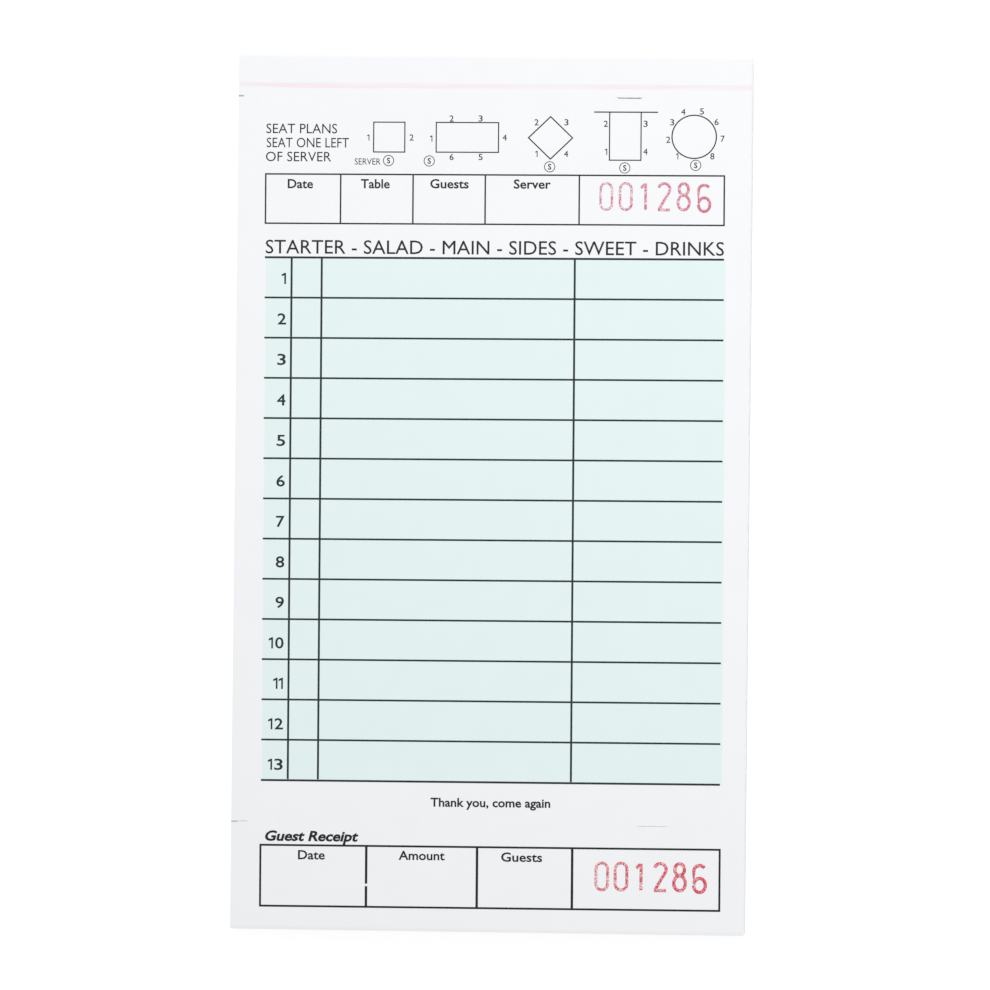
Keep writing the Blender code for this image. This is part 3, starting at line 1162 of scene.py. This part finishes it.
# The room is in metres, but for the values that end in MM.
FLOOR_SIZE = 6.0
FLOOR_BELOW_MM = 0.05
FLOOR_GLOW = 0.835
DAYLIGHT_STRENGTH = 0.507
WINDOW_PLACE, WINDOW_SIZE, WINDOW_WATTS = (0.0, 0.38, 0.75), (0.7, 0.5), 3.5
CARD_PLACE, CARD_SIZE, CARD_WATTS = (0.55, 0.0, 0.12), (0.5, 0.2), 1.15
CAMERA_DISTANCE = 1.5
CAMERA_LEAN = math.radians(4.0)
FRAME_WIDTH_MM = 207.73
SENSOR_MM = 36.0
PAD_TURN = math.radians(0.6)
PAD_ASIDE_MM = (0.938, -0.307)

bpy.ops.mesh.primitive_plane_add(size=FLOOR_SIZE, location=(0, 0, -FLOOR_BELOW_MM * MM))
floor = bpy.context.object
floor.name = "table_top"
white_table, tree, shader = new_finish("white_table_matt", 0.9, 0.2)
# To the camera and in a gloss the sheet is grey with a glow, so that it comes out white and
# keeps a faint shadow. All other light meets it as plain white.
seen = add_node(tree, "ShaderNodeLightPath", {})
direct = add_node(
    tree,
    "ShaderNodeMath",
    {0: seen.outputs["Is Camera Ray"], 1: seen.outputs["Is Glossy Ray"]},
    operation="MAXIMUM",
)
face = add_node(
    tree,
    "ShaderNodeMix",
    {0: direct, 1: linear("#F4F4F4"), 2: linear("#959595")},
    data_type="RGBA",
)
tree.links.new(face.outputs[2], shader.inputs["Base Color"])
glow = add_node(tree, "ShaderNodeMath", {0: direct, 1: FLOOR_GLOW}, operation="MULTIPLY")
shader.inputs["Emission Color"].default_value = linear("#FFFFFF")
tree.links.new(glow.outputs[0], shader.inputs["Emission Strength"])
floor.data.materials.append(white_table)

world = bpy.data.worlds.new("soft_daylight")
bpy.context.scene.world = world
world.use_nodes = True
world.node_tree.nodes["Background"].inputs["Color"].default_value = linear("#FFFFFF")
world.node_tree.nodes["Background"].inputs["Strength"].default_value = DAYLIGHT_STRENGTH


def hang_lamp(name, place, size, watts):
    """A flat lamp, turned to the pad."""
    bpy.ops.object.light_add(type="AREA", location=place)
    lamp = bpy.context.object
    lamp.name = name
    lamp.data.shape = "RECTANGLE"
    lamp.data.size = size[0]
    lamp.data.size_y = size[1]
    lamp.data.energy = watts
    lamp.rotation_euler = (-lamp.location).to_track_quat("-Z", "Y").to_euler()


hang_lamp("window_light", WINDOW_PLACE, WINDOW_SIZE, WINDOW_WATTS)
hang_lamp("fill_card", CARD_PLACE, CARD_SIZE, CARD_WATTS)

bpy.ops.object.camera_add()
camera = bpy.context.object
camera.data.sensor_width = SENSOR_MM
camera.data.lens = SENSOR_MM * CAMERA_DISTANCE / (FRAME_WIDTH_MM * MM)
turned = Matrix.Rotation(PAD_TURN, 3, "Z")
aim = turned @ Vector((PAD_ASIDE_MM[0] * MM, PAD_ASIDE_MM[1] * MM, 0)) + Vector((0, 0, pad_top))
back = turned @ Vector((math.sin(CAMERA_LEAN), 0, math.cos(CAMERA_LEAN)))
camera.location = aim + back * CAMERA_DISTANCE
camera.rotation_euler = (0, CAMERA_LEAN, PAD_TURN)
bpy.context.scene.camera = camera
bpy.context.scene.view_settings.view_transform = "Standard"

bpy.context.view_layer.update()
